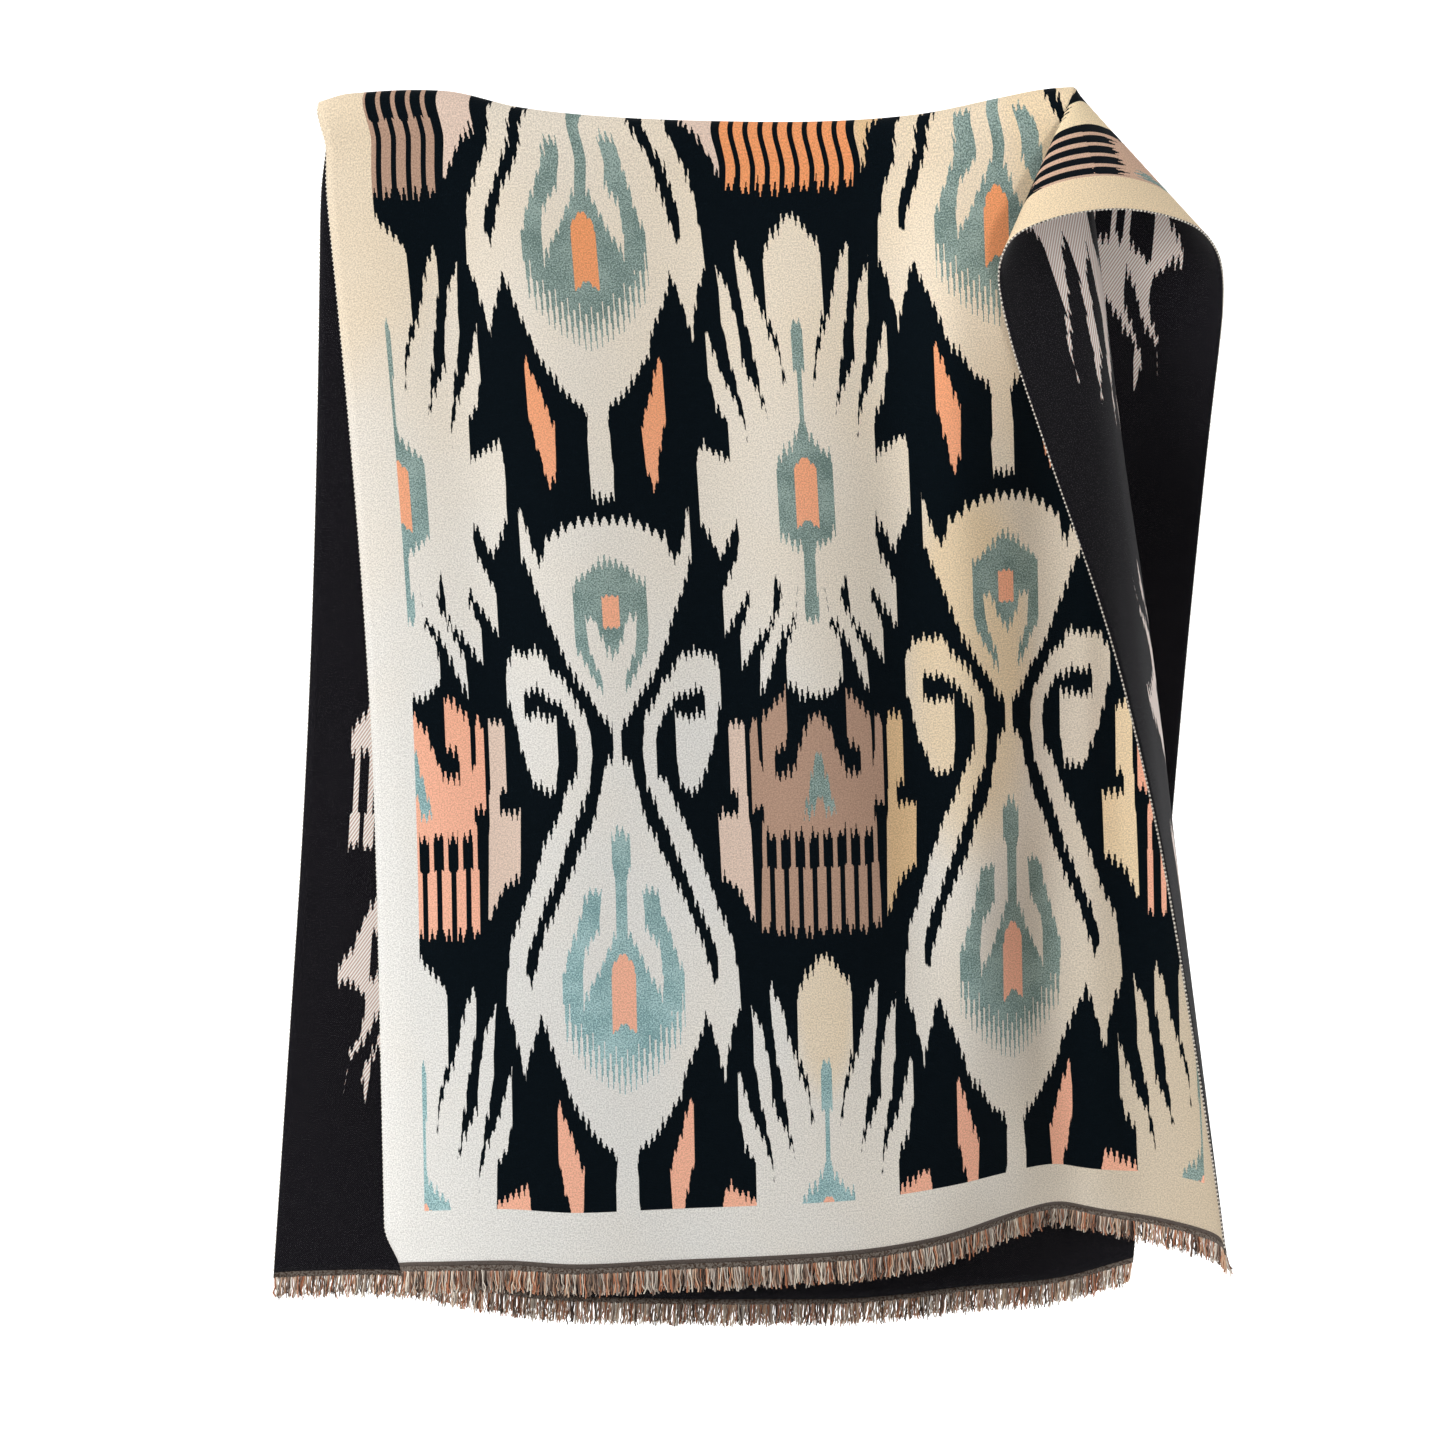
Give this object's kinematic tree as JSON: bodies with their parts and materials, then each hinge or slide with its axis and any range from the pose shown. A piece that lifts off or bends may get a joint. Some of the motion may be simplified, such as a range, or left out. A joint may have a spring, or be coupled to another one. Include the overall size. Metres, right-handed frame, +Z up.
{
  "type": "fringed wrap scarf",
  "caption": "Woven two-faced wrap scarf with short fringed ends, folded over its middle and hung from two points of the fold, one corner draped into a cowl.",
  "frame": {"origin": "top of the fold at the right-hand point it is held by", "axes": "+Z up, +X to the right along the fold as seen from the front, +Y away from the viewer, toward the back fall"},
  "size_m": [0.7265, 0.2166, 0.9485],
  "materials": {
    "cloth_face": "brushed wool-like jacquard, matte",
    "cloth_reverse": "twill reverse, matte",
    "fringe_yarn": "loose cut yarn, matte"
  },
  "bodies": {
    "root": {"fold_crest": "cloth_face", "cowl": "cloth_face", "front_fall": "cloth_face", "front_margin": "cloth_reverse", "back_fall": "cloth_reverse", "back_margin": "cloth_reverse", "front_fringe": "fringe_yarn", "back_fringe": "fringe_yarn"}
  },
  "joints": []
}
